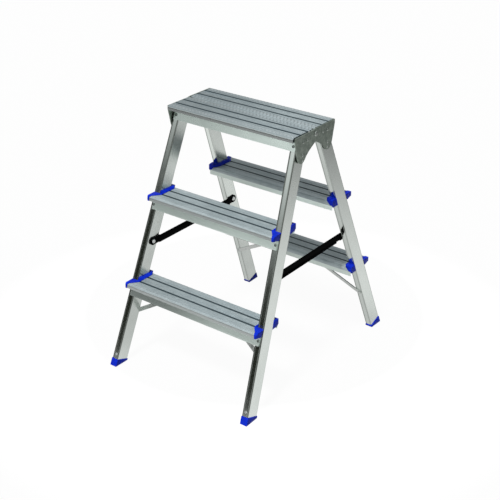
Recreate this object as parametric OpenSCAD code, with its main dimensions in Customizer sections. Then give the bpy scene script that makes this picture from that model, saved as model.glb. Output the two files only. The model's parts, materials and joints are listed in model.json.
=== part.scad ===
// Double-sided aluminium step ladder: two leaning frames with three ribbed
// treads each (the top pair makes the platform), hinged at the top on riveted
// plates and held open by two flat bars.
// Millimetres. Origin on the floor under the middle of the platform,
// X to the user's right, Y to the back, Z up. The front frame stands at -Y;
// the rear frame is the same frame turned half a turn about Z.

/* [Frame] */
// Height of the platform above the floor
height = 680; // [650:5:710]
// Step from one tread to the next
rise = 225; // [215:1:235]
// Lean of each frame from the vertical, degrees
lean = 21; // [20:0.25:22]
// Splay of each stile inside its frame, degrees
splay = 3.1; // [2.6:0.1:3.4]
// Half the width over the stiles at platform level
top_half_width = 191; // [185:0.5:200]
// Outer face of the stile to the mid plane at platform level
top_set_back = 57; // [56:0.1:58]
// Depth of the stile tube
stile_depth = 38.5; // [37:0.25:39]
// Width of the stile tube
stile_width = 18; // [17:0.25:20]
// Wall of the stile tube
stile_wall = 1.5; // [1.2:0.1:1.8]

/* [Treads] */
// Depth of a tread, front to back
tread_depth = 90; // [88:0.5:90]
// How far a tread stands out in front of the stiles
overhang = 30; // [28:0.5:32]
// Thickness of the tread's walls
tread_wall = 2; // [1.8:0.1:2.4]
// Rounding of the tread's long edges
edge_r = 6.5; // [5.5:0.25:7]
// Height of the nose under the front edge
nose_height = 12; // [11:0.5:13]
// Drop of the riveted skirt below the tread
skirt_drop = 40; // [38:0.5:44]
// Thickness of the riveted skirt
skirt_t = 2.5; // [2:0.1:3]
// How far a step's skirt stops short of the tread's ends
skirt_in = 4; // [3:0.25:5]
// Drop of the back skirt
back_drop = 24; // [22:0.5:25]
// Distance between the two wide grooves
groove_pitch = 30; // [28:0.5:32]
// Width of a wide groove
groove_w = 6; // [5:0.25:7]
// Depth of a wide groove
groove_d = 1.1; // [0.8:0.05:1.2]
// Distance between the fine ribs
rib_pitch = 3; // [2.8:0.1:3.4]
// Depth between the fine ribs
rib_d = 0.4; // [0.3:0.05:0.6]
// Drop of the inner web
web_drop = 21; // [19:0.5:23]
// Gap between the two halves of the platform
middle_gap = 0.8; // [0.6:0.1:1.4]
// Drop of the platform's inner edges
inner_drop = 11; // [9:0.5:12]

/* [Hinge] */
// Pivot below the platform's top
pivot_drop = 13; // [12.5:0.1:14]
// Thickness of a hinge plate
plate_t = 2.5; // [2:0.1:3]
// Inner hinge plates outside the stiles, at platform level
plate_out = 4.4; // [4.3:0.1:5.5]
// Space between the two plates of a hinge
plate_gap = 0.4; // [0.3:0.1:0.6]
// Radius of the pivot's shank
pivot_r = 3.5; // [3:0.1:4]
// Radius of the pivot's heads
pivot_head_r = 7.5; // [7:0.25:8]

/* [Caps and feet] */
// Thickness of a cap's end plates
cap_t = 2.5; // [2:0.1:3]
// Height of a cap above the tread
cap_rise = 1.5; // [1:0.1:2]
// Height of a cap's collar against the stile
collar_rise = 6; // [5:0.5:8]
// Reach of a cap beside the stile
cap_reach = 9; // [7:0.5:10]
// Width of a cap's wrap over the nose
wrap_w = 7; // [6:0.5:9]
// Width of a cap's wrap behind the tread
wrap_back_w = 18; // [14:0.5:20]
// Drop of a cap's wrap behind the tread
wrap_back_drop = 11; // [9:0.5:13]
// Thickness of the wrap
wrap_t = 1.5; // [1.2:0.1:2]
// Drop of a cap's end plates
cap_drop = 16; // [14:0.5:17]
// Length of a foot along its stile
foot_length = 20; // [19:0.5:24]
// How much a foot stands out around its stile
foot_lip = 1.5; // [1:0.1:2.5]
// Depth of the foot's plug inside the tube
foot_plug = 26; // [24:1:30]

/* [Bars and braces] */
// Height of the bars' eyes above the floor
bar_height = 327; // [318:1:336]
// Height of a bar's section
bar_h = 20; // [17:0.5:21]
// Thickness of a bar
bar_t = 3; // [2.5:0.1:3.5]
// How far the lip along a bar's lower edge stands out to the stile
bar_lip = 4; // [3:0.25:4.25]
// Outer radius of a bar's eyes
eye_r = 11; // [10.5:0.25:12]
// Radius of the bars' rivets
bar_rivet_r = 3; // [2.5:0.1:3.5]
// Width of a brace
brace_w = 11; // [10:0.5:13]
// Thickness of a brace
brace_t = 2.5; // [2:0.1:3]
// Slope of a brace from the horizontal, degrees
brace_slope = 35; // [33:0.5:37]
// Height of the brace's upper tab
tab_h = 13; // [12:0.5:14]
// Width of the brace's upper tab
tab_w = 18; // [16:1:22]
// Brace's rivet below the tread, along the stile
brace_drop = 90; // [85:1:95]

/* [Rivets] */
// Radius of a tread rivet's shank
rivet_r = 2; // [1.8:0.05:2.4]
// Radius of a tread rivet's head
rivet_head_r = 3.8; // [3.4:0.1:4.2]
// Height of a rivet's head
rivet_head_h = 1.6; // [1.2:0.1:2]
// Tread rivets below the tread's top
rivet_drop = 29; // [27:0.5:31]
// Height of a foot screw above its foot, along the stile
screw_up = 13; // [11:0.5:15]

/* [Hidden] */
$fn = 48;
tab_top = tread_wall + 5;         // brace's tab under the tread's top
fit = 0.2;                       // fixed pieces that only lie beside each other
run = 0.05;                      // radial clearance of a shank in its hole
side_gap = 0.4;                  // between faces that turn past each other
cl = cos(lean);
tl = tan(lean);
pivot_z = height - pivot_drop;
// how far up the webs reach into the tread's top
root = (tread_wall + groove_d) / 2;
// everything is cut from boxes this long
big = 2 * height;
platform_half = top_half_width + plate_out - side_gap;
plate_x = top_half_width + plate_out;
// the inner web stands just in front of the braces' plane
web_at = stile_depth / cl - web_drop * tl - 0.3 - tread_wall;
z_mid = height - rise;
z_low = height - 2 * rise;
foot_u = -height / cl + foot_length;
bar_y = top_set_back + (height - bar_height) * tl - stile_depth / 2 / cl;
bar_u = -(height - bar_height) / cl + stile_depth / 2 * tl;
// inner face of the stile where the bar's eye lies
bar_face = top_half_width - stile_width / cos(splay) - bar_u * tan(splay);
eye_x = bar_face - (eye_r + 1) * tan(splay) - side_gap;
// y of the stile's outer face and half width over the stiles at a height
function face_y(z) = -(top_set_back + (height - z) * tl);
function half_w(z) = top_half_width + (height - z) / cl * tan(splay);
// hinge plate outline, (distance from the mid plane, below the platform)
plate_outline = [[-87, -1], [-87.5, -10], [-85.5, -20], [-82.5, -31], [-79.5, -45],
    [-77, -55], [-73.5, -63], [-68, -69.5], [-60, -73], [-51, -70.5], [-45, -65],
    [-40, -58.5], [-30, -50], [-19, -43], [-2, -33.5], [10, -27.5], [18, -22],
    [20.5, -16], [18, -10], [11, -5], [3, -2], [-5, -1]];
plate_rivets_at = [[-35, -19], [-54, -19], [-56, -52], [-56, -64]];

alu = [0.78, 0.79, 0.8];
blue = [0.05, 0.12, 0.8];
dark = [0.12, 0.12, 0.12];

// ---- placing -------------------------------------------------------------
// plane of the frame: y inward from the stiles' front faces, z up the stile
module in_frame() translate([0, -top_set_back, height]) rotate([-lean, 0, 0]) children();
// a stile's own axes: x = 0 on its outer face, for the right (1) or left (-1)
module at_stile(s) in_frame() translate([s * top_half_width, 0, 0])
    rotate([0, -s * splay, 0]) children();
// box in a stile's axes, x measured from its outer face toward the middle
module sbox(s, x0, x1, y0, y1, z0, z1)
    translate([s > 0 ? -x1 : x0, y0, z0]) cube([x1 - x0, y1 - y0, z1 - z0]);
module world_slab(z0, z1) translate([-big / 2, -big, z0]) cube([big, big, z1 - z0]);
// profile drawn in (y, z), extruded along x between x0 and x1
module along_x(x0, x1) translate([x0, 0, 0]) rotate([90, 0, 90])
    linear_extrude(x1 - x0) children();
module along_y(y0, y1) translate([0, y1, 0]) rotate([90, 0, 0]) linear_extrude(y1 - y0) children();
module rear() rotate([0, 0, 180]) children();

// ---- stile ---------------------------------------------------------------
module stile_space(s, g, z1, out = 0) intersection() {
    at_stile(s) sbox(s, -out, stile_width + g, 0, stile_depth + g, -height / cl - 20, 60);
    world_slab(-20, z1);
}
module stile_section() difference() {
    square([stile_width, stile_depth]);
    translate([stile_wall, stile_wall])
        square([stile_width - 2 * stile_wall, stile_depth - 2 * stile_wall]);
    for (x = [1.8, stile_width - 3.8], y = [-0.6, stile_depth - 0.6])
        translate([x, y]) square([2, 1.2]);
}
module stile(s) difference() {
    intersection() {
        at_stile(s) translate([s > 0 ? -stile_width : 0, 0, foot_u])
            linear_extrude(-foot_u + 60) stile_section();
        world_slab(-20, height - tread_wall);
    }
    for (z = [height, z_mid, z_low]) tread_rivet_hole(s, z);
    foot_screw_hole(s);
    brace_hole(s);
    bar_hole(s);
    plate_holes(s);
}

// ---- treads --------------------------------------------------------------
module edge_round(y, dir) translate([y - dir * edge_r, -edge_r]) intersection() {
    difference() {
        circle(edge_r);
        circle(edge_r - tread_wall);
    }
    translate([dir > 0 ? 0 : -edge_r, 0]) square(edge_r);
}
// section of a tread, y from the stile's front face at the tread's top
module tread_section(y0, y1, web, back) difference() {
    union() {
        translate([y0 + edge_r, -tread_wall]) square([y1 - y0 - 2 * edge_r, tread_wall]);
        edge_round(y0, -1);
        edge_round(y1, 1);
        translate([y0, -nose_height]) square([tread_wall, nose_height - edge_r]);
        translate([y0, -nose_height])
            square([-y0 - nose_height * tl - skirt_t / 2, tread_wall]);
        translate([web, -web_drop]) square([tread_wall, web_drop - root]);
        translate([y1 - tread_wall, -back]) square([tread_wall, back - edge_r]);
    }
    for (k = [-1, 1])
        translate([(y0 + y1) / 2 + k * groove_pitch / 2 - groove_w / 2, -groove_d])
            square([groove_w, 2]);
    for (k = [-9 : 9]) if (abs(abs(k * rib_pitch) - groove_pitch / 2) > groove_w / 2 + 1)
        translate([(y0 + y1) / 2 + k * rib_pitch - 0.5, -rib_d]) square([1, 1]);
}
// the skirt that lies on the stiles' front faces and is riveted to them
module skirt_section() polygon([[-skirt_t / cl - root * tl, -root], [-root * tl, -root],
    [-skirt_drop * tl, -skirt_drop], [-skirt_drop * tl - skirt_t / cl, -skirt_drop]]);
module step_tread(z) difference() {
    translate([0, face_y(z), z]) {
        along_x(-half_w(z), half_w(z))
            tread_section(-overhang, tread_depth - overhang, web_at, back_drop);
        along_x(-half_w(z) + skirt_in, half_w(z) - skirt_in) skirt_section();
    }
    for (s = [-1, 1]) {
        stile_space(s, fit, z + 5, 20);
        cap_room(s, z);
        tread_rivet_hole(s, z);
        brace_tab_hole(s, z);
    }
}
module platform_tread() difference() {
    translate([0, -top_set_back, height]) {
        along_x(-platform_half, platform_half)
            tread_section(top_set_back - tread_depth, top_set_back - middle_gap / 2,
                web_at, inner_drop);
        along_x(-top_half_width, top_half_width) skirt_section();
    }
    for (s = [-1, 1]) {
        stile_space(s, fit, height - tread_wall);
        // room under the top for the pivot's inner head
        translate([s * (platform_half - 2), 0, pivot_z])
            cube([16, 2 * pivot_head_r + 6, 2 * (pivot_drop - tread_wall - 0.4)], center = true);
        tread_rivet_hole(s, height);
    }
}

// ---- caps ----------------------------------------------------------------
// what a cap takes off the tread's ends
module cap_room(s, z)
    for (r = [[-overhang - 2, 0, cap_drop + fit], [stile_depth / cl - 4, tread_depth - overhang + 2, back_drop + 1]])
        translate([s > 0 ? half_w(z) - cap_t - fit : -half_w(z) - 20, face_y(z) + r[0], z - r[2]])
            cube([20 + cap_t + fit, r[1] - r[0], r[2] + 20]);
// outline of the nose, grown by g
module nose_outline(g) intersection() {
    union() {
        translate([edge_r - overhang, -edge_r]) circle(edge_r + g);
        translate([-overhang - g, -nose_height]) square([edge_r + g, nose_height - edge_r]);
    }
    translate([-overhang - g, -nose_height]) square([edge_r + g, nose_height + g]);
}
cap_back = tread_depth - overhang;
// cap of side s: x runs in from the tread's end, y back from the stile's front face
module at_cap(s, z) translate([s * half_w(z), face_y(z), z])
    mirror([s > 0 ? 1 : 0, 0, 0]) children();
module cap_plan() polygon([[2.5, -overhang - wrap_t], [wrap_w, -overhang - wrap_t],
    [wrap_w + 3, edge_r - overhang], [stile_width + cap_reach, -3],
    [stile_width + cap_reach, stile_depth / cl + 6], [wrap_back_w, cap_back + wrap_t],
    [0, cap_back + wrap_t], [0, 3 - overhang]]);
module cap(s, z) difference() {
    at_cap(s, z) intersection() {
        union() {
            // flange on the tread
            translate([0, edge_r - overhang, 0]) cube([60, tread_depth - edge_r + wrap_t, cap_rise]);
            // wrap over the nose
            along_x(0, wrap_w + 3) difference() {
                nose_outline(wrap_t);
                nose_outline(0);
            }
            // end plates over the nose and behind the stile
            along_x(0, cap_t) {
                nose_outline(wrap_t);
                polygon([[edge_r - overhang - 0.1, cap_rise], [edge_r - overhang - 0.1, -nose_height],
                    [-12, -cap_drop], [-cap_drop * tl - skirt_t / cl - fit, -cap_drop],
                    [-skirt_t / cl - fit, 0], [0, 0], [0, cap_rise]]);
                polygon([[stile_depth / cl - 4, collar_rise], [cap_back - 8, collar_rise],
                    [cap_back - 1, collar_rise - 2], [cap_back, collar_rise - 4],
                    [cap_back, -wrap_back_drop], [cap_back - 3, -cap_drop],
                    [stile_depth / cl - 8, -cap_drop]]);
            }
            // collar round the stile, sloping down to the tread beside it
            intersection() {
                along_y(2, cap_back + wrap_t) polygon([[0, 0], [stile_width + cap_reach, 0],
                    [stile_width + cap_reach, 1], [stile_width + 4, collar_rise], [0, collar_rise]]);
                along_x(-1, 60) polygon([[2, 0], [2, collar_rise], [cap_back - 8, collar_rise],
                    [cap_back + wrap_t, collar_rise - 2], [cap_back + wrap_t, 0]]);
            }
            // wrap behind the tread
            along_y(cap_back, cap_back + wrap_t) polygon([[0, collar_rise - 2], [wrap_back_w, collar_rise - 2],
                [wrap_back_w, 1], [wrap_back_w / 2, 2 - wrap_back_drop], [0, -wrap_back_drop]]);
        }
        translate([0, 0, -cap_drop]) linear_extrude(cap_drop + collar_rise) cap_plan();
    }
    at_stile(s) sbox(s, -20, stile_width + fit, -fit, stile_depth + fit,
        -(height - z) / cl - 90, -(height - z) / cl + 90);
}

// ---- feet ----------------------------------------------------------------
module foot(s) difference() {
    union() {
        intersection() {
            at_stile(s) sbox(s, -foot_lip, stile_width + foot_lip, -foot_lip,
                stile_depth + foot_lip, foot_u - 60, foot_u);
            world_slab(0, 100);
        }
        at_stile(s) sbox(s, stile_wall + fit, stile_width - stile_wall - fit,
            stile_wall + fit, stile_depth - stile_wall - fit, foot_u - 1, foot_u + foot_plug);
    }
    foot_screw_hole(s);
}

// ---- hinge plates --------------------------------------------------------
// x where the plate of side s starts; the front frame's right plate lies outside
function plate_in(s) = plate_x + (s > 0 ? plate_t + plate_gap : 0);
module hinge_plate(s) difference() {
    union() {
        along_x(s > 0 ? plate_in(s) : -plate_in(s) - plate_t, s > 0 ? plate_in(s) + plate_t : -plate_in(s))
            translate([0, height]) polygon(plate_outline);
        // pads down to the splayed stile
        for (p = plate_rivets_at) translate([0, p[0], height + p[1]]) rotate([0, s * 90, 0])
            translate([0, 0, top_half_width - 5]) cylinder(r = 5, h = plate_in(s) - top_half_width + 6);
    }
    at_stile(s) sbox(s, 0, stile_width + 40, -10, stile_depth + 30, -200, 60);
    plate_holes(s);
    translate([0, 0, pivot_z]) rotate([0, s * 90, 0]) translate([0, 0, plate_x - 5])
        cylinder(r = pivot_r + run, h = 20);
}
module plate_holes(s) for (p = plate_rivets_at)
    translate([0, p[0], height + p[1]]) rotate([0, s * 90, 0])
        translate([0, 0, top_half_width - 8]) cylinder(r = rivet_r + run, h = 30);
module plate_rivets() for (s = [-1, 1], p = plate_rivets_at)
    translate([0, p[0], height + p[1]]) rotate([0, s * 90, 0]) {
        translate([0, 0, top_half_width - 4])
            cylinder(r = rivet_r, h = plate_in(s) + plate_t - top_half_width + 4 + 0.2);
        translate([0, 0, plate_in(s) + plate_t]) cylinder(r1 = rivet_head_r, r2 = rivet_head_r - 1.2, h = rivet_head_h);
    }
module pivot_rivet(s) translate([0, 0, pivot_z]) rotate([0, s * 90, 0]) {
    a = plate_x - 0.3;
    b = plate_x + 2 * plate_t + plate_gap + 0.3;
    translate([0, 0, a - 2]) cylinder(r = pivot_r, h = b - a + 3);
    translate([0, 0, a - 2]) cylinder(r = pivot_head_r - 1.5, h = 2);
    translate([0, 0, b]) cylinder(r1 = pivot_head_r, r2 = pivot_head_r - 2, h = 2.4);
}

// ---- braces --------------------------------------------------------------
function brace_u(z) = -(height - z) / cl - brace_drop;
module brace_axis(s) at_stile(s) translate([-s * stile_width / 2, 0, 0]) children();
module brace(s) difference() {
    union() {
        // strip on the stiles' rear faces, up into the tread's channel
        intersection() {
            brace_axis(s) translate([0, stile_depth, brace_u(z_low)])
                rotate([0, s * (brace_slope - 90), 0]) union() {
                    translate([-brace_w / 2, 0, 0]) cube([brace_w, brace_t, brace_l + brace_w + 10]);
                    rotate([-90, 0, 0]) cylinder(r = brace_w / 2, h = brace_t);
                }
            world_slab(0, z_low - tab_top - tab_h + 3.4);
        }
        brace_tab(s, z_low, face_y(z_low) + web_at + tread_wall);
    }
    brace_hole(s);
    brace_tab_hole(s, z_low);
}
// length of the strip up to the tab's lower part, and the tab's x
brace_top_u = (z_low - tab_top - tab_h + 3 - height + stile_depth * sin(lean)) / cl;
brace_l = (brace_top_u + stile_width / 2 * sin(splay) - brace_u(z_low) * cos(splay)) / sin(brace_slope - splay);
function tab_x(z) = top_half_width - (stile_width / 2 + brace_l * cos(brace_slope)) * cos(splay)
    - (brace_u(z) + brace_l * sin(brace_slope)) * sin(splay);
module brace_tab(s, z, y_web) translate([s * tab_x(z) - tab_w / 2, y_web, z - tab_top - tab_h])
    cube([tab_w, brace_t, tab_h]);
module brace_tab_hole(s, z) if (z == z_low)
    translate([s * tab_x(z), face_y(z) + web_at - 3, z - tab_top - tab_h / 2 + 1]) rotate([-90, 0, 0])
        cylinder(r = rivet_r + run, h = 12);
module brace_hole(s) brace_axis(s) translate([0, stile_depth - 6, brace_u(z_low)])
    rotate([-90, 0, 0]) cylinder(r = rivet_r + run, h = 14);
module brace_rivets() for (s = [-1, 1]) {
    brace_axis(s) translate([0, 0, brace_u(z_low)]) rotate([-90, 0, 0]) {
        translate([0, 0, stile_depth - 4]) cylinder(r = rivet_r, h = brace_t + 4.2);
        translate([0, 0, stile_depth + brace_t]) cylinder(r1 = rivet_head_r, r2 = rivet_head_r - 1.2, h = rivet_head_h);
    }
    translate([s * tab_x(z_low), face_y(z_low) + web_at, z_low - tab_top - tab_h / 2 + 1]) rotate([-90, 0, 0]) {
        translate([0, 0, -1.4]) cylinder(r = rivet_head_r - 0.6, h = 1.4);
        cylinder(r = rivet_r, h = tread_wall + brace_t + 0.2);
        translate([0, 0, tread_wall + brace_t]) cylinder(r1 = rivet_head_r, r2 = rivet_head_r - 1.2, h = rivet_head_h);
    }
}

// ---- small fasteners -----------------------------------------------------
module on_front(s, u) at_stile(s) translate([-s * stile_width / 2, 0, u]) rotate([90, 0, 0]) children();
function rivet_u(z) = -(height - z + rivet_drop) / cl;
module tread_rivet_hole(s, z) on_front(s, rivet_u(z))
    translate([0, 0, -7]) cylinder(r = rivet_r + run, h = 14);
module tread_rivets() for (s = [-1, 1], z = [height, z_mid, z_low])
    on_front(s, rivet_u(z)) {
        translate([0, 0, -4]) cylinder(r = rivet_r, h = 4 + skirt_t + 0.2);
        translate([0, 0, skirt_t]) cylinder(r1 = rivet_head_r, r2 = rivet_head_r - 1.2, h = rivet_head_h);
    }
module foot_screw_hole(s) on_front(s, foot_u + screw_up)
    translate([0, 0, -13]) cylinder(r = rivet_r + run, h = 20);
module foot_screws() for (s = [-1, 1]) on_front(s, foot_u + screw_up) difference() {
    union() {
        translate([0, 0, -12]) cylinder(r = rivet_r, h = 12.2);
        cylinder(r1 = rivet_head_r, r2 = rivet_head_r - 1, h = rivet_head_h + 0.4);
    }
    for (a = [0, 90]) rotate(a) translate([-2, -0.4, 1]) cube([4, 0.8, 3]);
}

// ---- spreader bars -------------------------------------------------------
module at_eye(s, y) translate([0, y, bar_height]) rotate([0, s * 90, 0]) children();
module bar_hole(s) at_eye(s, -bar_y) translate([0, 0, bar_face - 6]) cylinder(r = bar_rivet_r + run, h = 12);
module spreader(s) difference() {
    union() {
        for (y = [-bar_y, bar_y]) at_eye(s, y) translate([0, 0, eye_x - bar_t]) cylinder(r = eye_r, h = bar_t);
        translate([s > 0 ? eye_x - bar_t : -eye_x, -bar_y, bar_height - bar_h / 2]) cube([bar_t, 26, bar_h]);
        translate([s > 0 ? eye_x - bar_t : -eye_x, bar_y - 26, bar_height - bar_h / 2]) cube([bar_t, 26, bar_h]);
        translate([s > 0 ? eye_x - 2 * bar_t : -eye_x + bar_t, -bar_y + 20, bar_height - bar_h / 2])
            cube([bar_t, 2 * bar_y - 40, bar_h]);
        for (y = [-bar_y + 20, bar_y - 26])
            translate([s > 0 ? eye_x - 2 * bar_t : -eye_x, y, bar_height - bar_h / 2]) cube([2 * bar_t, 6, bar_h]);
        // stiffening lip, clear of both cranks
        translate([s > 0 ? eye_x - bar_t - 1 : -eye_x + bar_t - bar_lip, -bar_y + 44, bar_height - bar_h / 2])
            cube([bar_lip + 1, 2 * bar_y - 88, bar_t - 0.5]);
    }
    for (y = [-bar_y, bar_y]) at_eye(s, y) translate([0, 0, eye_x - 10]) cylinder(r = bar_rivet_r + run, h = 20);
}
// rivet held in the front stile: the shoulder keeps the eye off the splayed face
module bar_rivets() for (s = [-1, 1]) difference() {
    at_eye(s, -bar_y) {
        translate([0, 0, eye_x - bar_t - side_gap - 2]) cylinder(r1 = 4.6, r2 = 6, h = 2);
        translate([0, 0, eye_x - bar_t - side_gap - 1]) cylinder(r = bar_rivet_r, h = bar_t + 2 * side_gap + 6);
        translate([0, 0, eye_x + side_gap]) cylinder(r = 5.5, h = 6);
    }
    difference() {
        at_stile(s) sbox(s, -20, stile_width, -10, stile_depth + 10, bar_u - 60, bar_u + 60);
        at_eye(s, -bar_y) cylinder(r = bar_rivet_r, h = big);
    }
}
// pin at the bar's rear end: it leaves the rear stile with the bar
module spreader_pin(s) at_eye(s, bar_y) {
    translate([0, 0, eye_x - bar_t - 2]) cylinder(r1 = 4.6, r2 = 6, h = 2);
    translate([0, 0, eye_x - bar_t - 1]) cylinder(r = bar_rivet_r, h = bar_t + 1);
}

// ---- nodes ---------------------------------------------------------------
module front_stile_left() color(alu) stile(-1);
module front_stile_right() color(alu) stile(1);
module front_platform_tread() color(alu) platform_tread();
module front_middle_tread() color(alu) step_tread(z_mid);
module front_bottom_tread() color(alu) step_tread(z_low);
module front_cap_middle_left() color(blue) cap(-1, z_mid);
module front_cap_middle_right() color(blue) cap(1, z_mid);
module front_cap_bottom_left() color(blue) cap(-1, z_low);
module front_cap_bottom_right() color(blue) cap(1, z_low);
module front_foot_left() color(blue) foot(-1);
module front_foot_right() color(blue) foot(1);
module front_hinge_plate_left() color([0.45, 0.5, 0.46]) hinge_plate(-1);
module front_hinge_plate_right() color([0.45, 0.5, 0.46]) hinge_plate(1);
module front_brace_left() color([0.6, 0.6, 0.6]) brace(-1);
module front_brace_right() color([0.6, 0.6, 0.6]) brace(1);
module front_tread_rivets() color([0.6, 0.6, 0.6]) tread_rivets();
module front_plate_rivets() color([0.6, 0.6, 0.6]) plate_rivets();
module front_foot_screws() color([0.6, 0.6, 0.6]) foot_screws();
module front_brace_rivets() color([0.6, 0.6, 0.6]) brace_rivets();
module rear_stile_left() color(alu) rear() stile(1);
module rear_stile_right() color(alu) rear() stile(-1);
module rear_platform_tread() color(alu) rear() platform_tread();
module rear_middle_tread() color(alu) rear() step_tread(z_mid);
module rear_bottom_tread() color(alu) rear() step_tread(z_low);
module rear_cap_middle_left() color(blue) rear() cap(1, z_mid);
module rear_cap_middle_right() color(blue) rear() cap(-1, z_mid);
module rear_cap_bottom_left() color(blue) rear() cap(1, z_low);
module rear_cap_bottom_right() color(blue) rear() cap(-1, z_low);
module rear_foot_left() color(blue) rear() foot(1);
module rear_foot_right() color(blue) rear() foot(-1);
module rear_hinge_plate_left() color([0.45, 0.5, 0.46]) rear() hinge_plate(1);
module rear_hinge_plate_right() color([0.45, 0.5, 0.46]) rear() hinge_plate(-1);
module rear_brace_left() color([0.6, 0.6, 0.6]) rear() brace(1);
module rear_brace_right() color([0.6, 0.6, 0.6]) rear() brace(-1);
module rear_tread_rivets() color([0.6, 0.6, 0.6]) rear() tread_rivets();
module rear_plate_rivets() color([0.6, 0.6, 0.6]) rear() plate_rivets();
module rear_foot_screws() color([0.6, 0.6, 0.6]) rear() foot_screws();
module rear_brace_rivets() color([0.6, 0.6, 0.6]) rear() brace_rivets();
module pivot_rivet_left() color([0.7, 0.7, 0.7]) pivot_rivet(-1);
module pivot_rivet_right() color([0.7, 0.7, 0.7]) pivot_rivet(1);
module spreader_left() color(dark) spreader(-1);
module spreader_right() color(dark) spreader(1);
module spreader_front_rivets() color([0.7, 0.7, 0.7]) bar_rivets();
module spreader_pin_left() color([0.7, 0.7, 0.7]) spreader_pin(-1);
module spreader_pin_right() color([0.7, 0.7, 0.7]) spreader_pin(1);

front_stile_left();
front_stile_right();
front_platform_tread();
front_middle_tread();
front_bottom_tread();
front_cap_middle_left();
front_cap_middle_right();
front_cap_bottom_left();
front_cap_bottom_right();
front_foot_left();
front_foot_right();
front_hinge_plate_left();
front_hinge_plate_right();
front_brace_left();
front_brace_right();
front_tread_rivets();
front_plate_rivets();
front_foot_screws();
front_brace_rivets();
rear_stile_left();
rear_stile_right();
rear_platform_tread();
rear_middle_tread();
rear_bottom_tread();
rear_cap_middle_left();
rear_cap_middle_right();
rear_cap_bottom_left();
rear_cap_bottom_right();
rear_foot_left();
rear_foot_right();
rear_hinge_plate_left();
rear_hinge_plate_right();
rear_brace_left();
rear_brace_right();
rear_tread_rivets();
rear_plate_rivets();
rear_foot_screws();
rear_brace_rivets();
pivot_rivet_left();
pivot_rivet_right();
spreader_left();
spreader_right();
spreader_front_rivets();
spreader_pin_left();
spreader_pin_right();
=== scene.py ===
# %% [markdown]
# # A double-sided step ladder
# The real thing is a household step ladder of drawn aluminium: two leaning frames with
# ribbed treads, a small platform over the hinge, blue moulded caps and feet, and two black
# flat bars that keep it open. The construction model brings every solid in its true size,
# so this lesson is about finishes, small pressed and moulded details, and the studio.
# Everything is in metres, +X along the treads, +Y to the back, +Z up.

# %% load the construction model
import json
import math

import bmesh
import bpy
import numpy as np
from mathutils import Matrix, Vector


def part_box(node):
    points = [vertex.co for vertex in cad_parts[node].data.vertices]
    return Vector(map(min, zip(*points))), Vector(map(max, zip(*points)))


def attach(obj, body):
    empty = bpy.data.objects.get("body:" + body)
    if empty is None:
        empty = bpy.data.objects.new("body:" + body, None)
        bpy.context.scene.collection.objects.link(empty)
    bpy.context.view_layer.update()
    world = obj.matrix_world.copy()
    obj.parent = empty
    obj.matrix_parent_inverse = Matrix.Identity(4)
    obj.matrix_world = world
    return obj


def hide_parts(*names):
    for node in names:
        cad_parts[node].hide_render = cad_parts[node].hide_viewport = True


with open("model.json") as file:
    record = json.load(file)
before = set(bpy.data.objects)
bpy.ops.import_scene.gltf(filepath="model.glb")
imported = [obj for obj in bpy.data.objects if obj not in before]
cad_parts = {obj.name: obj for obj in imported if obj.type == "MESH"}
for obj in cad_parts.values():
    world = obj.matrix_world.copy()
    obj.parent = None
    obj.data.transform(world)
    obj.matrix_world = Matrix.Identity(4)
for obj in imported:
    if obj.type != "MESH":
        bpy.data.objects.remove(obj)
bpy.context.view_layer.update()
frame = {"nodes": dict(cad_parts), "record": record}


nodes = frame["nodes"]
body_of = {node: body for body, members in frame["record"]["behaviour"]["bodies"].items()
           for node in members}
mm = 0.001

# %% [markdown]
# ## Where things are
# A rivet or a drawing line belongs to a stile, and a stile leans back and splays out. The
# simplest way to place them is the stile's own set of axes: x = 0 on its outer face, y
# from its front face inwards, z up along it. One matrix per stile carries these axes into
# the ladder's frame, and the rear frame is the front one after half a turn about Z.

# %% axes of the stiles and heights of the treads
lean, splay = math.radians(21), math.radians(3.1)
top_half_width, top_set_back = 191 * mm, 57 * mm
stile_width, stile_depth = 18 * mm, 38.5 * mm
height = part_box("front_platform_tread")[1].z
tread_tops = {"platform": height, "middle": height - 225 * mm, "bottom": height - 450 * mm}
half_turn = Matrix.Rotation(math.pi, 4, "Z")


def stile_axes(frame_name, side):
    """Matrix from a stile's own axes to the ladder: side is +1 or -1 along the front
    frame's X, and a stile of the rear frame makes half a turn about Z as well."""
    axes = (Matrix.Translation((side * top_half_width, -top_set_back, height))
            @ Matrix.Rotation(-lean, 4, "X") @ Matrix.Rotation(-side * splay, 4, "Y"))
    return half_turn @ axes if frame_name == "rear" else axes


def side_name(frame_name, side):
    """left or right as the person in front of the ladder sees it."""
    return "right" if (side > 0) == (frame_name == "front") else "left"


print("platform", round(height / mm), "mm above the floor")

# %% [markdown]
# ## The node tools
# Every finish below is a small tree of shader nodes. Building a tree by hand takes three
# lines for each node, so a short helper makes a node, sets its values and joins its
# inputs in one call. Patterns are drawn in millimetres in a piece's own axes, which a
# Mapping node finds from the Object coordinates.

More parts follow.
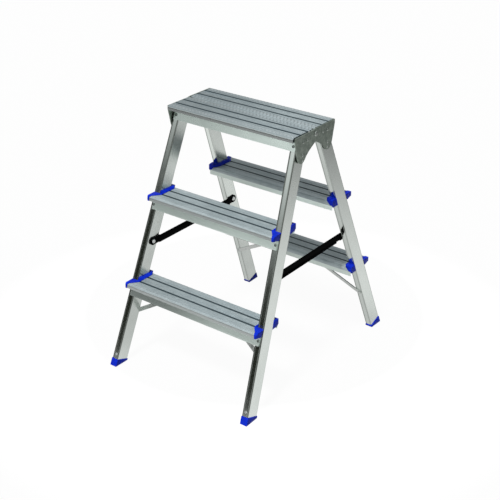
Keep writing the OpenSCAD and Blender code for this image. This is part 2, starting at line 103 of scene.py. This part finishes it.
# %% a hand for shader trees
class Tree:
    """Makes, sets and joins the nodes of one material or world."""

    def __init__(self, owner):
        owner.use_nodes = True
        owner.node_tree.nodes.clear()
        self.tree = owner.node_tree

    def add(self, kind, inputs=(), **settings):
        """A node of that kind; inputs are (socket, value or output) pairs."""
        node = self.tree.nodes.new("ShaderNode" + kind)
        for name, value in settings.items():
            setattr(node, name, value)
        for socket, value in dict(inputs).items():
            if isinstance(value, bpy.types.NodeSocket):
                self.tree.links.new(value, node.inputs[socket])
            else:
                node.inputs[socket].default_value = value
        return node

    def math(self, operation, a, b=0.0, clamp=False):
        return self.add("Math", {0: a, 1: b}, operation=operation, use_clamp=clamp).outputs[0]

    def times(self, a, b):
        return self.math("MULTIPLY", a, b)

    def plus(self, a, b):
        return self.math("ADD", a, b)

    def most(self, a, b):
        return self.math("MAXIMUM", a, b)

    def nearest(self, value, places):
        """Distance from value to the nearer one of two places."""
        far = [self.math("ABSOLUTE", self.math("SUBTRACT", value, place)) for place in places]
        return self.math("MINIMUM", *far)

    def ramp(self, value, low, high, to_low=0.0, to_high=1.0):
        """value from low to high becomes to_low to to_high, smoothly and never beyond."""
        return self.add("MapRange", {"Value": value, "From Min": low, "From Max": high,
                                     "To Min": to_low, "To Max": to_high},
                        interpolation_type="SMOOTHSTEP").outputs[0]

    def noise(self, place, scale, detail=3.0, roughness=0.5):
        return self.add("TexNoise", {"Vector": place, "Scale": scale, "Detail": detail,
                                     "Roughness": roughness}).outputs["Fac"]

    def blend(self, fac, a, b):
        """Colour a and colour b mixed by fac: 0 is all a, 1 is all b."""
        return self.add("Mix", {0: fac, 6: a, 7: b}, data_type="RGBA").outputs[2]

    def in_axes(self, axes=Matrix.Identity(4)):
        """Object coordinates in millimetres in those axes."""
        return self.add("Mapping", {"Vector": self.add("TexCoord").outputs["Object"],
                                    "Location": axes.translation,
                                    "Rotation": axes.to_euler("XYZ"),
                                    "Scale": (mm, mm, mm)}, vector_type="TEXTURE").outputs[0]

    def squeezed(self, place, factors):
        """A pattern drawn in the result is drawn out where a factor is small."""
        return self.add("Mapping", {"Vector": place, "Scale": factors}).outputs[0]

    def split(self, vector):
        return self.add("SeparateXYZ", {0: vector}).outputs

    def surface(self, bump=None, bump_height=0.0, **sockets):
        """Ends the tree: one Principled surface, with a bump that high in metres."""
        inputs = {name.replace("_", " "): value for name, value in sockets.items()}
        if bump is not None:
            inputs["Normal"] = self.add("Bump", {"Height": bump, "Distance": bump_height,
                                                 "Strength": 1.0}).outputs[0]
        shader = self.add("BsdfPrincipled", inputs)
        self.add("OutputMaterial", {"Surface": shader.outputs[0]})


def new_material(name):
    material = bpy.data.materials.new(name)
    return material, Tree(material)


def dress(piece, material):
    """Gives a piece one material all over."""
    piece.data.materials.clear()
    piece.data.materials.append(material)


# %% [markdown]
# ## Drawn aluminium for the stiles
# The stiles are box sections pulled through a die. What the eye reads is a nearly mirror
# bright metal with hair lines along the length and a soft patchy haze where hands and
# packing have dulled it. A noise drawn out along the stile gives the die lines, a broad one
# the haze. They change the gloss and hardly the colour, so that the reflections do the rest.

# %% stile finish
groove_x = (1.6, 16.0)          # mm from the outer face, on a narrow face
half_depth = stile_depth / mm / 2
clear_tint, milky_tint = (0.59, 0.63, 0.60, 1), (0.63, 0.67, 0.64, 1)
# painted shade for the drawn grooves and for the corners beside the narrow faces
stile_groove_shade = (0.07, 0.075, 0.06, 1)


def drawn_aluminium(name, axes):
    """Bright metal; die lines = noise drawn out some 170 times along the stile, and two dull
    drawn grooves, painted dark as shade, where x, measured across a narrow face, is close to
    groove_x."""
    material, tree = new_material(name)
    place = tree.in_axes(axes)
    x, y = tree.split(place)[0], tree.split(place)[1]
    inwards = tree.math("ABSOLUTE", tree.math("SUBTRACT", y, half_depth))
    narrow = tree.ramp(inwards, half_depth - 0.65, half_depth - 0.35)
    near = tree.nearest(tree.math("ABSOLUTE", x), groove_x)
    groove = tree.times(tree.ramp(near, 2.4, 1.5), narrow)
    # painted shade in the rounded corner of a wide face, beside the narrow one
    beside = tree.ramp(inwards, half_depth - 2.05, half_depth - 1.05)
    corner = tree.times(beside, tree.math("SUBTRACT", 0.6, narrow, clamp=True))
    # the painted shade of the grooves and corners is fainter on the face that looks at the other
    # frame
    groove_shade_weight = tree.ramp(y, 30.0, 10.0, 0.35, 1.0)
    groove = tree.times(tree.plus(groove, corner), groove_shade_weight)
    lines = tree.noise(tree.squeezed(place, (1.0, 1.0, 0.006)), 2.4, 4.0, 0.6)
    haze = tree.noise(place, 0.035, 3.0, 0.6)
    rough = tree.plus(tree.ramp(haze, 0.3, 0.7, 0.08, 0.11),
                      tree.ramp(lines, 0.3, 0.7, -0.02, 0.03))
    rough = tree.plus(rough, tree.times(groove, 0.15))
    rough = tree.plus(rough, tree.ramp(narrow, 1.0, 0.0, 0.0, 0.15))
    tint = tree.blend(tree.ramp(haze, 0.25, 0.75), clear_tint, milky_tint)
    # painted shade: the grooves and the corners are painted dark
    tint = tree.blend(tree.times(groove, 0.8), tint, stile_groove_shade)
    tree.surface(Base_Color=tint, Metallic=1.0, Roughness=rough, bump=lines,
                 bump_height=0.000012)
    return material


for frame_name in ("front", "rear"):
    for side in (-1, 1):
        node = f"{frame_name}_stile_{side_name(frame_name, side)}"
        dress(nodes[node], drawn_aluminium(node + "_metal", stile_axes(frame_name, side)))

# %% [markdown]
# ## Ribbed aluminium for the treads
# A tread is a wide drawn section with two deep grooves and fine ribs that grip a shoe. The
# platform is knurled as well: short cross cuts beside its middle, and pips along its nose.
# The ribs and grooves are in the solid, so the finish adds what is too fine for a solid:
# painted shade in the grooves, streaks of oxide, the teeth of the ribs and the knurls, all
# drawn in millimetres from the nose.

# %% tread finish
groove_at, groove_half = (30.0, 60.0), 3.0      # mm from the nose, and half a groove's width
rib_pitch, dash_pitch = 3.0, 10.5
dash_rows = ((72.0, 78.0), (80.5, 86.0))        # cross cuts beside the platform's middle
pip_rows = ((5.5, 7.5), (11.5, 13.5))           # paler pips along its nose
painted_tone_reach = 130.0              # mm from the middle of a tread to where an end's tone is full
satin_dark, satin_light = (0.37, 0.43, 0.445), (0.45, 0.515, 0.53)
bare_metal, nose_metal = (0.745, 0.83, 0.785), (0.42, 0.45, 0.445, 1)
rib_shade, oxide = (0.18, 0.20, 0.21, 1), (0.24, 0.32, 0.36, 1)
# dirt in the platform's joint with painted shade at its nose, then painted shade in the grooves
joint_dirt_nose_shade, tread_groove_shade = (0.11, 0.14, 0.145, 1), (0.030, 0.052, 0.062, 1)
# pale colour painted on the pips as highlights, and a darker one for the dashes
dash_shade, pip_highlight = (0.13, 0.15, 0.155, 1), (0.95, 0.97, 0.98, 1)


def shade(colour, tone):
    """A colour made tone times as bright."""
    return tuple(tone * part for part in colour) + (1,)


def band(tree, value, low, high, soft=0.6):
    """1 between low and high, 0 outside, with soft edges."""
    return tree.times(tree.ramp(value, low - soft, low + soft),
                      tree.ramp(value, high + soft, high - soft))


def staggered(tree, across, v, rows, outside, inside):
    """Short marks dash_pitch apart in two rows, the second row half a pitch further on. A
    mark fades from inside to outside, both measured from its middle along the tread."""
    marks = []
    for row, shift in zip(rows, (0.0, dash_pitch / 2)):
        along = tree.math("PINGPONG", tree.plus(across, shift), dash_pitch / 2)
        marks.append(tree.times(tree.ramp(along, outside, inside), band(tree, v, *row)))
    return tree.most(*marks)


def ribbed_aluminium(name, axes, side, knurled, painted_satin_tones, painted_bare_tones):
    """Satin metal; groove mask = how near v, the distance from the nose, is to a groove.
    side is +1 or -1 along the ladder's X, and the last two pairs give the painted shade at its
    left and right end."""
    material, tree = new_material(name)
    place = tree.in_axes(axes)
    across, v, up = tree.split(place)[0], tree.split(place)[1], tree.split(place)[2]
    on_top = tree.ramp(up, -3.0, -1.5)
    reach = groove_half + (1.9 if knurled else 1.1)
    groove = tree.times(tree.ramp(tree.nearest(v, groove_at), reach, groove_half - 0.3), on_top)
    # ribs: distance to the nearest cut, which repeats every rib_pitch
    rib = tree.math("PINGPONG", tree.plus(v, rib_pitch / 2), rib_pitch / 2)
    cut = tree.times(tree.ramp(rib, rib_pitch / 2 - 0.75, rib_pitch / 2 - 0.35), on_top)
    grain = tree.noise(tree.squeezed(place, (0.01, 1.0, 1.0)), 1.8, 4.0, 0.6)
    haze = tree.noise(place, 0.03, 4.0, 0.6)
    # painted shade: the metal is painted darker towards the ladder's left end, most of all on the
    # platform
    painted_to_right = tree.ramp(across, -painted_tone_reach * side, painted_tone_reach * side)
    patchy = tree.ramp(haze, 0.3, 0.7)
    colour = tree.blend(painted_to_right, *[tree.blend(patchy, shade(satin_dark, tone),
                                               shade(satin_light, tone))
                                    for tone in painted_satin_tones])
    # the nose, the skirt and the back edge are plain bright metal under the satin top
    plain = tree.ramp(up, -11.0, -13.0)
    nose = tree.times(tree.ramp(v, 3.5, 1.0), tree.ramp(up, -1.5, -4.5))
    bright = tree.most(nose, plain)
    colour = tree.blend(nose, colour, nose_metal)
    # painted shade: the bare metal takes its painted brightness at each end as well
    bare = tree.blend(painted_to_right, *[shade(bare_metal, tone) for tone in painted_bare_tones])
    colour = tree.blend(plain, colour, bare)
    colour = tree.blend(tree.times(cut, 0.5), colour, rib_shade)
    streak = tree.noise(tree.squeezed(place, (0.012, 1.0, 1.0)), 0.22, 2.0, 0.5)
    streak = tree.times(tree.ramp(streak, 0.42, 0.68, 0.0, 0.42), on_top)
    colour = tree.blend(streak, colour, oxide)
    # each rib is a low step that leans to the nose, like the tooth of a saw
    tooth = tree.math("FRACT", tree.math("DIVIDE", v, rib_pitch))
    relief = tree.plus(tree.times(grain, 0.06), tree.times(tooth, 0.1 if knurled else 0.6))
    relief = tree.times(relief, tree.ramp(bright, 1.0, 0.0, 0.15, 1.0))
    if knurled:
        dashes = tree.times(staggered(tree, across, v, dash_rows, 2.4, 1.3), on_top)
        pips = tree.times(staggered(tree, across, v, pip_rows, 3.6, 2.6), on_top)
        # dirt in the joint between the halves, and painted shade along the nose that deepens
        # towards it
        edge = tree.most(tree.ramp(v, 86.5, 88.5), tree.ramp(v, 3.4, 1.2))
        edge = tree.most(edge, tree.ramp(v, 26.0, 2.0, 0.0, 0.4))
        edge = tree.times(tree.times(edge, on_top), 0.8)
        colour = tree.blend(edge, colour, joint_dirt_nose_shade)
        colour = tree.blend(tree.times(dashes, 0.75), colour, dash_shade)
        # painted highlight: the pips are painted pale
        colour = tree.blend(tree.times(pips, 0.2), colour, pip_highlight)
        relief = tree.math("SUBTRACT", relief, tree.times(dashes, 0.4))
    # painted shade: the grooves are painted nearly black
    colour = tree.blend(tree.times(groove, 0.96), colour, tread_groove_shade)
    # the platform's bare skirt is smoother than its satin, the steps' skirts are rougher
    rough = tree.plus(tree.ramp(haze, 0.25, 0.75, 0.37, 0.43),
                      tree.times(tree.math("SUBTRACT", groove, bright),
                                 0.12 if knurled else -0.08))
    tree.surface(Base_Color=colour, Metallic=tree.ramp(bright, 0.0, 1.0, 0.4, 0.9),
                 Roughness=rough, bump=relief, bump_height=0.0005)
    return material


# painted shade: brightness of the satin top and of the bare skirt, each at the left and the right
# end; the left ends and the bottom skirt are painted darker
painted_tones = {"platform": ((0.62, 0.97), (0.92, 1.18)), "middle": ((0.97, 1.06), (0.92, 1.18)),
         "bottom": ((0.90, 1.04), (0.46, 0.92))}
for frame_name in ("front", "rear"):
    for level, top in tread_tops.items():
        node = f"{frame_name}_{level}_tread"
        low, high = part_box(node)
        if frame_name == "front":
            side, axes = 1, Matrix.Translation((0, low.y, top))
        else:
            side, axes = -1, Matrix.Translation((0, high.y, top)) @ half_turn
        dress(nodes[node], ribbed_aluminium(node + "_metal", axes, side, level == "platform",
                                            *painted_tones[level]))

# %% [markdown]
# ## Blue moulded plastic
# Caps and feet are polypropylene: a deep saturated blue with a satin skin. A fine noise
# gives the skin, and a broad one the uneven colour and gloss.

# %% plastic finish
deep_blue, bright_blue = (0.0028, 0.014, 0.37, 1), (0.0055, 0.029, 0.51, 1)


def moulded_plastic(name):
    """Satin blue; skin = fine noise, and cloud = broad noise for the colour and the gloss."""
    material, tree = new_material(name)
    place = tree.in_axes()
    skin = tree.noise(place, 1.6, 2.0)
    cloud = tree.noise(place, 0.05, 3.0)
    colour = tree.blend(tree.ramp(cloud, 0.3, 0.7), deep_blue, bright_blue)
    tree.surface(Base_Color=colour, Roughness=tree.ramp(cloud, 0.3, 0.7, 0.34, 0.46),
                 Specular_IOR_Level=0.05, bump=skin, bump_height=0.00003)
    return material


blue_plastic = moulded_plastic("blue_plastic")
for node in nodes:
    if "_cap_" in node or "_foot_left" in node or "_foot_right" in node:
        dress(nodes[node], blue_plastic)

# %% [markdown]
# ## Sheet metal, flat bars and rivets
# The hinge plates are pressed from zinc-plated sheet: grey-green, dull, with a faint
# spangle. The braces are flat aluminium bar, the spreaders are painted black.

# %% small metal finishes
def plated_sheet(name):
    """Dull plating; spangle = cells of slightly different grey."""
    material, tree = new_material(name)
    place = tree.in_axes()
    cells = tree.add("TexVoronoi", {"Vector": place, "Scale": 0.16, "Randomness": 1.0})
    grey = tree.split(cells.outputs["Color"])[0]
    cloud = tree.noise(place, 0.06, 4.0)
    colour = tree.blend(tree.ramp(grey, 0.0, 1.0), (0.225, 0.265, 0.23, 1), (0.31, 0.36, 0.31, 1))
    colour = tree.blend(tree.ramp(cloud, 0.35, 0.7, 0.0, 0.5), colour, (0.18, 0.215, 0.185, 1))
    tree.surface(Base_Color=colour, Metallic=0.9, Roughness=tree.ramp(cloud, 0.3, 0.7, 0.34, 0.5),
                 bump=cloud, bump_height=0.00006)
    return material


def plain_metal(name, dark, light, rough):
    """Bright metal between two greys, with a broad cloud and a fine grain."""
    material, tree = new_material(name)
    place = tree.in_axes()
    cloud = tree.noise(place, 0.12, 4.0, 0.6)
    fine = tree.noise(place, 2.5, 3.0)
    tree.surface(Base_Color=tree.blend(tree.ramp(cloud, 0.3, 0.7), dark + (1,), light + (1,)),
                 Metallic=1.0, Roughness=tree.ramp(cloud, 0.3, 0.7, rough, rough + 0.12),
                 bump=fine, bump_height=0.00003)
    return material


def black_paint(name):
    """Dull black paint with a little orange peel."""
    material, tree = new_material(name)
    place = tree.in_axes()
    peel = tree.noise(place, 0.9, 2.0)
    cloud = tree.noise(place, 0.08, 3.0)
    colour = tree.blend(cloud, (0.0012, 0.0014, 0.0016, 1), (0.0032, 0.0034, 0.0036, 1))
    tree.surface(Base_Color=colour, Roughness=tree.ramp(cloud, 0.3, 0.7, 0.38, 0.5),
                 Specular_IOR_Level=0.008, bump=peel, bump_height=0.00003)
    return material


plating = plated_sheet("plated_sheet")
flat_bar = plain_metal("flat_bar", (0.50, 0.53, 0.51), (0.62, 0.64, 0.62), 0.26)
rivet_metal = plain_metal("rivet_metal", (0.50, 0.52, 0.51), (0.62, 0.64, 0.63), 0.25)
tread_rivet_metal = plain_metal("tread_rivet_metal", (0.14, 0.16, 0.15), (0.30, 0.33, 0.31), 0.3)
plate_rivet_metal = plain_metal("plate_rivet_metal", (0.24, 0.27, 0.245), (0.42, 0.45, 0.42), 0.28)
bar_paint = black_paint("bar_paint")
for node in nodes:
    if "hinge_plate" in node:
        dress(nodes[node], plating)
    elif "brace_left" in node or "brace_right" in node:
        dress(nodes[node], flat_bar)
    elif node in ("spreader_left", "spreader_right"):
        dress(nodes[node], bar_paint)
    elif "rivet" in node or "screw" in node or "pin" in node:
        dress(nodes[node], rivet_metal)

# %% [markdown]
# ## Rivet heads
# A blind rivet's head is a low dome with a thin rim, and in its middle the pin has left a
# small dimple. It is a surface of revolution: one profile, turned about the rivet's axis.
# All the rivets of a node are one mesh, because they are the same piece many times.

# %% turned pieces
def turned(profile, turns=20):
    """Points and faces of a closed surface of revolution: a profile point (r, h) at angle a
    is (r cos a, r sin a, h). The profile starts and ends on the axis."""
    ring = np.array(profile[1:-1]) * mm
    angle = np.linspace(0, 2 * math.pi, turns, endpoint=False)
    grid = np.stack([ring[:, :1] * np.cos(angle), ring[:, :1] * np.sin(angle),
                     np.repeat(ring[:, 1:], turns, 1)], -1).reshape(-1, 3)
    ends = np.array([(0, 0, profile[0][1]), (0, 0, profile[-1][1])]) * mm
    # each ring joins the next one with quads, and fans close both ends
    row = np.arange(len(ring) - 1)[:, None] * turns
    here, after = np.arange(turns), (np.arange(turns) + 1) % turns
    quads = np.stack([row + here, row + after, row + turns + after, row + turns + here], -1)
    last = len(grid) - turns
    start = np.stack([np.full(turns, len(grid)), after, here], -1)
    stop = np.stack([np.full(turns, len(grid) + 1), last + here, last + after], -1)
    return np.vstack([grid, ends]), quads.reshape(-1, 4), np.vstack([start, stop])


def placed(name, shape, places, material, node):
    """One mesh with that shape at every place, standing for a node of the model."""
    points, quads, fans = shape
    flat = np.hstack([points, np.ones((len(points), 1))])
    moved = [(flat @ np.array(place).T)[:, :3] for place in places]
    faces = [(quads + k * len(points)).tolist() + (fans + k * len(points)).tolist()
             for k in range(len(places))]
    mesh = bpy.data.meshes.new(name)
    mesh.from_pydata(np.vstack(moved).tolist(), [], [face for part in faces for face in part])
    mesh.shade_smooth()
    return stands_for(bpy.data.objects.new(name, mesh), node, material)


def stands_for(piece, node, material):
    """Puts a piece in a node's stead: its body, its material."""
    bpy.context.scene.collection.objects.link(piece)
    dress(piece, material)
    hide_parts(node)
    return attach(piece, body_of[node])


def rivet(radius, rim, dome, shank=3.5, shank_radius=1.9):
    """Profile of a rivet: shank, rim, a dome of that height and a dimple in its middle."""
    rise = np.linspace(0, 0.42 * math.pi, 6)
    arc = [(radius * math.cos(a), rim + (dome - rim) * math.sin(a)) for a in rise]
    crown = arc[-1][0]
    return ([(0, -shank), (shank_radius, -shank), (shank_radius, 0.1), (radius, 0.0)] + arc
            + [(crown * 0.8, dome), (crown * 0.45, dome - 0.45), (0, dome - 0.5)])


blind_rivet = turned(rivet(3.8, 0.5, 1.6))

# %% tread rivets, three pairs on each frame
rivet_drop, skirt = 29 * mm, 2.5 * mm       # below a tread's top, and the skirt's thickness
for frame_name in ("front", "rear"):
    places = []
    for side in (-1, 1):
        for top in tread_tops.values():
            along = -(height - top + rivet_drop) / math.cos(lean)
            places.append(stile_axes(frame_name, side)
                          @ Matrix.Translation((-side * stile_width / 2, -skirt, along))
                          @ Matrix.Rotation(math.pi / 2, 4, "X"))
    node = frame_name + "_tread_rivets"
    placed(node + "_domed", blind_rivet, places, tread_rivet_metal, node)
print(len(places), "rivets hold the treads of each frame")

# %% hinge plate rivets
# y and z in millimetres from the middle of the platform's top. On each side of the ladder
# one frame's plate lies outside the other's.
plate_rivets = ((-35, -19), (-54, -19), (-56, -52), (-56, -64))
inner_plate, plate, plate_gap = 195.4 * mm, 2.5 * mm, 0.4 * mm
for frame_name in ("front", "rear"):
    places = []
    turn = half_turn if frame_name == "rear" else Matrix.Identity(4)
    for side in (-1, 1):
        outside = inner_plate + plate + (plate + plate_gap if side > 0 else 0)
        places += [turn @ Matrix.Translation((side * outside, y * mm, height + z * mm))
                   @ Matrix.Rotation(side * math.pi / 2, 4, "Y") for y, z in plate_rivets]
    node = frame_name + "_plate_rivets"
    placed(node + "_domed", blind_rivet, places, plate_rivet_metal, node)

# %% [markdown]
# ## Rounded mouldings
# Nothing that comes out of a mould or a press has a knife edge. The construction solids of
# the caps, feet, bars and turned heads have the right shape but sharp corners, so the
# points of a copy are merged, its flat faces are joined, and a Bevel modifier rounds it.

# %% rounded copies
def rounded(node, radius, material, steps=3):
    """A copy of a node with every corner rounded to that radius in millimetres."""
    shape = bmesh.new()
    shape.from_mesh(nodes[node].data)
    bmesh.ops.remove_doubles(shape, verts=shape.verts, dist=2e-6)
    bmesh.ops.dissolve_limit(shape, angle_limit=math.radians(2), verts=shape.verts,
                             edges=shape.edges)
    mesh = bpy.data.meshes.new(node + "_rounded")
    shape.to_mesh(mesh)
    shape.free()
    mesh.shade_smooth()
    piece = bpy.data.objects.new(node + "_rounded", mesh)
    bevel = piece.modifiers.new("edges", "BEVEL")
    bevel.width, bevel.segments = radius * mm, steps
    bevel.limit_method, bevel.angle_limit = "ANGLE", math.radians(32)
    bevel.harden_normals = True
    return stands_for(piece, node, material)


for node in sorted(nodes):
    if "_cap_" in node:
        rounded(node, 0.7, blue_plastic)
    elif "_foot_left" in node or "_foot_right" in node:
        rounded(node, 1.4, blue_plastic)
    elif node in ("spreader_left", "spreader_right"):
        rounded(node, 0.5, bar_paint, 2)
    elif node.startswith("pivot_rivet"):
        rounded(node, 0.5, plate_rivet_metal, 2)
    elif node.endswith(("brace_rivets", "front_rivets", "foot_screws")):
        rounded(node, 0.5, rivet_metal, 2)

# %% [markdown]
# ## The studio
# A pale floor without a seam, one soft light from above and a little in front, and a white
# room. Metal needs something to mirror, so the room that it sees has a dark low part in
# front, as a studio has behind the camera, and a greyer one at the back, while the floor
# and the background stay white for the camera.

# %% floor
reach = 30.0
mesh = bpy.data.meshes.new("studio_floor")
mesh.from_pydata([(-reach, -reach, 0), (reach, -reach, 0), (reach, reach, 0),
                  (-reach, reach, 0)], [], [(0, 1, 2, 3)])
floor = bpy.data.objects.new("studio_floor", mesh)
bpy.context.scene.collection.objects.link(floor)
floor.location.z = -0.5 * mm
floor_paint, tree = new_material("floor_paint")
ray = tree.add("LightPath").outputs
# the camera and the mirrors see mostly its glow, and all else is lit by grey paper
seen = tree.math("ADD", ray["Is Camera Ray"], ray["Is Glossy Ray"], clamp=True)
# in a mirror the pool of light fades outwards and the ladder's own shade is in its middle
place = tree.add("TexCoord").outputs["Object"]
away = tree.add("VectorMath", {0: place}, operation="LENGTH").outputs["Value"]
beside = tree.add("VectorMath", {0: place, 1: (-0.1, 0.15, 0)}, operation="DISTANCE")
lit = tree.times(tree.ramp(away, 0.3, 3.0, 1.10, 0.10),
                 tree.ramp(beside.outputs["Value"], 0.30, 0.58, 0.70, 1.0))
strength = tree.most(lit, ray["Is Camera Ray"])
paper = tree.add("BsdfDiffuse", {"Color": (0.50, 0.50, 0.50, 1)}).outputs[0]
glow = tree.add("Emission", {"Color": (1, 1, 1, 1), "Strength": strength}).outputs[0]
mixed = tree.add("MixShader", {0: tree.times(seen, 0.96), 1: paper, 2: glow}).outputs[0]
tree.add("OutputMaterial", {"Surface": mixed})
dress(floor, floor_paint)

# %% room
world = bpy.data.worlds.new("studio_room")
bpy.context.scene.world = world
tree = Tree(world)
x, y, z = tree.split(tree.add("TexCoord").outputs["Generated"])
ray = tree.add("LightPath").outputs
# in front the room is dark below a horizon that tilts with x, and at the back it is greyer
# up to some thirty degrees
horizon = tree.plus(z, tree.times(x, 0.33))
low = tree.times(tree.ramp(horizon, 0.075, -0.07), tree.ramp(y, 0.2, -0.2))
back = tree.times(tree.ramp(z, 0.62, 0.30), tree.ramp(y, 0.1, 0.4))
mirrored = tree.blend(low, (0.94, 0.97, 0.97, 1), (0.022, 0.024, 0.018, 1))
mirrored = tree.blend(tree.times(back, 0.55), mirrored, (0.10, 0.12, 0.125, 1))
shown = tree.blend(ray["Is Glossy Ray"], (0.18, 0.185, 0.193, 1), mirrored)
shown = tree.blend(ray["Is Camera Ray"], shown, (1, 1, 1, 1))
sky = tree.add("Background", {"Color": shown, "Strength": 1.0})
tree.add("OutputWorld", {"Surface": sky.outputs[0]})

# %% lamp
# far away, nine degrees wide, and not shown in mirrors
lamp = bpy.data.lights.new("key", "SUN")
lamp.angle, lamp.energy = math.radians(9), 4.1
light = bpy.data.objects.new("key", lamp)
light.visible_glossy = False
light.rotation_euler = Vector((0.05, -0.5, 1.0)).to_track_quat("Z", "Y").to_euler()
bpy.context.scene.collection.objects.link(light)

# %% camera
# round from the front and up, then metres from the point that it looks at
azimuth, elevation = math.radians(37.158), math.radians(27.031)
aim, distance = Vector((-0.00062, 0.00155, 0.28854)), 2.8454
towards = Vector((math.sin(azimuth) * math.cos(elevation),
                  -math.cos(azimuth) * math.cos(elevation), math.sin(elevation)))
lens = bpy.data.cameras.new("studio_camera")
lens.lens, lens.sensor_width = 76.4, 36.0
camera = bpy.data.objects.new("studio_camera", lens)
camera.location = aim + distance * towards
camera.rotation_euler = (-towards).to_track_quat("-Z", "Y").to_euler()
bpy.context.scene.collection.objects.link(camera)
bpy.context.scene.camera = camera
bpy.context.scene.view_settings.view_transform = "Standard"
